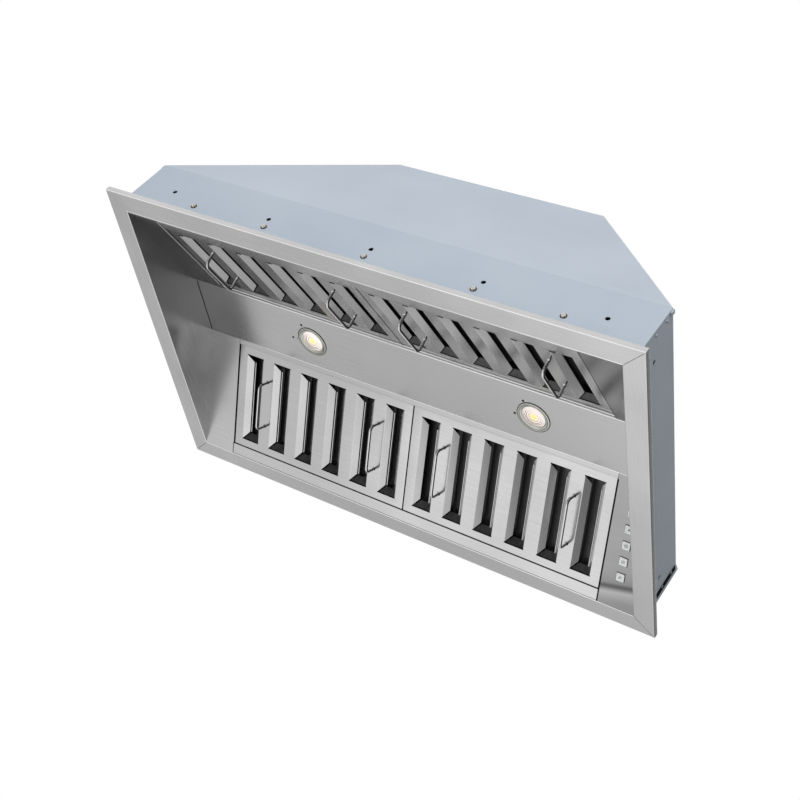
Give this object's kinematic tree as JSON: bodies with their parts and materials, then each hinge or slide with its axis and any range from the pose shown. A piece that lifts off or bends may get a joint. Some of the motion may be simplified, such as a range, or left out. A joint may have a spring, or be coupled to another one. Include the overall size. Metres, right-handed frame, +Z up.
{
  "type": "range hood insert",
  "caption": "Under-cabinet range hood insert with a flanged stainless liner, banks of baffle filters, lamps, push buttons and a tapering casing with a round duct collar.",
  "frame": {"origin": "centre of the flange's underside", "axes": "+X along the width to the right, -Y to the front, +Z up towards the duct collar"},
  "size_m": [0.873, 0.5486, 0.4177],
  "materials": {
    "flange_steel": "brushed along each bar",
    "liner_steel": "brushed",
    "baffle_steel": "brushed",
    "casing_paint": "satin, pale blue grey",
    "wire_chrome": "polished",
    "galvanised": "dull zinc",
    "damper_aluminium": "mill finish",
    "button_plastic": "silver white",
    "black_plastic": "matt",
    "grey_plastic": "matt",
    "board": "lacquered",
    "lens": "milky",
    "bezel": "satin",
    "motor_paint": "matt",
    "wheel_paint": "matt"
  },
  "bodies": {
    "hood": {"flange_front": "flange_steel", "flange_rear": "flange_steel", "flange_left": "flange_steel", "flange_right": "flange_steel", "liner_left": "liner_steel", "liner_right": "liner_steel", "light_panel": "liner_steel", "front_filter_rails": "liner_steel", "rear_filter_rails": "liner_steel", "casing_front": "casing_paint", "casing_left": "casing_paint", "casing_right": "casing_paint", "casing_rear": "casing_paint", "top_plate": "casing_paint", "duct_collar": "galvanised", "damper_rods": "wire_chrome", "blower_left_side": "galvanised", "blower_right_side": "galvanised", "blower_scroll": "galvanised", "blower_outlet": "galvanised", "blower_hangers": "galvanised", "motor": "motor_paint", "motor_mount": "galvanised", "lamp_housings": "grey_plastic", "lamp_bezels": "bezel", "lamp_lenses": "lens", "lamp_driver": "grey_plastic", "control_housing": "black_plastic", "control_board": "board", "junction_box": "galvanised", "junction_cover": "galvanised", "cable_bushing": "black_plastic", "screws": "wire_chrome", "rivets": "casing_paint", "filter_clips": "wire_chrome"},
    "front_left_filter": {"front_left_frame": "baffle_steel", "front_left_face": "baffle_steel", "front_left_back": "baffle_steel", "front_left_handles": "wire_chrome"},
    "front_right_filter": {"front_right_frame": "baffle_steel", "front_right_face": "baffle_steel", "front_right_back": "baffle_steel", "front_right_handles": "wire_chrome"},
    "rear_left_filter": {"rear_left_frame": "baffle_steel", "rear_left_face": "baffle_steel", "rear_left_back": "baffle_steel", "rear_left_handles": "wire_chrome"},
    "rear_right_filter": {"rear_right_frame": "baffle_steel", "rear_right_face": "baffle_steel", "rear_right_back": "baffle_steel", "rear_right_handles": "wire_chrome"},
    "blower_wheel": {"impeller": "wheel_paint", "motor_shaft": "wire_chrome"},
    "left_damper": {"damper_flap_left": "damper_aluminium"},
    "right_damper": {"damper_flap_right": "damper_aluminium"},
    "button_1": {"push_button_1": "button_plastic"},
    "button_2": {"push_button_2": "button_plastic"},
    "button_3": {"push_button_3": "button_plastic"},
    "button_4": {"push_button_4": "button_plastic"},
    "button_5": {"push_button_5": "button_plastic"}
  },
  "joints": [
    {"name": "front_left_filter_swing", "type": "hinge", "parent": "hood", "child": "front_left_filter", "pos_m": [-0.1718, -0.22341, 0.01284], "axis": [-1, 0, 0], "range_deg": [0, 75]},
    {"name": "front_right_filter_swing", "type": "hinge", "parent": "hood", "child": "front_right_filter", "pos_m": [0.1718, -0.22341, 0.01284], "axis": [-1, 0, 0], "range_deg": [0, 75]},
    {"name": "rear_left_filter_swing", "type": "hinge", "parent": "hood", "child": "rear_left_filter", "pos_m": [-0.1718, 0.22353, 0.01302], "axis": [1, 0, 0], "range_deg": [0, 75]},
    {"name": "rear_right_filter_swing", "type": "hinge", "parent": "hood", "child": "rear_right_filter", "pos_m": [0.1718, 0.22353, 0.01302], "axis": [1, 0, 0], "range_deg": [0, 75]},
    {"name": "blower_spin", "type": "hinge", "parent": "hood", "child": "blower_wheel", "pos_m": [0, -0.025, 0.235], "axis": [1, 0, 0], "continuous": true},
    {"name": "left_damper_swing", "type": "hinge", "parent": "hood", "child": "left_damper", "pos_m": [-0.0052, 0.05, 0.3927], "axis": [0, 1, 0], "range_deg": [0, 80]},
    {"name": "right_damper_swing", "type": "hinge", "parent": "hood", "child": "right_damper", "pos_m": [0.0052, 0.05, 0.3927], "axis": [0, -1, 0], "range_deg": [0, 80]},
    {"name": "button_1_press", "type": "slide", "parent": "hood", "child": "button_1", "axis": [0, 0.4232, 0.906], "range_m": [0, 0.0015], "stiffness_N_per_m": 800, "springref_m": -0.0005},
    {"name": "button_2_press", "type": "slide", "parent": "hood", "child": "button_2", "axis": [0, 0.4232, 0.906], "range_m": [0, 0.0015], "stiffness_N_per_m": 800, "springref_m": -0.0005},
    {"name": "button_3_press", "type": "slide", "parent": "hood", "child": "button_3", "axis": [0, 0.4232, 0.906], "range_m": [0, 0.0015], "stiffness_N_per_m": 800, "springref_m": -0.0005},
    {"name": "button_4_press", "type": "slide", "parent": "hood", "child": "button_4", "axis": [0, 0.4232, 0.906], "range_m": [0, 0.0015], "stiffness_N_per_m": 800, "springref_m": -0.0005},
    {"name": "button_5_press", "type": "slide", "parent": "hood", "child": "button_5", "axis": [0, 0.4232, 0.906], "range_m": [0, 0.0015], "stiffness_N_per_m": 800, "springref_m": -0.0005}
  ]
}
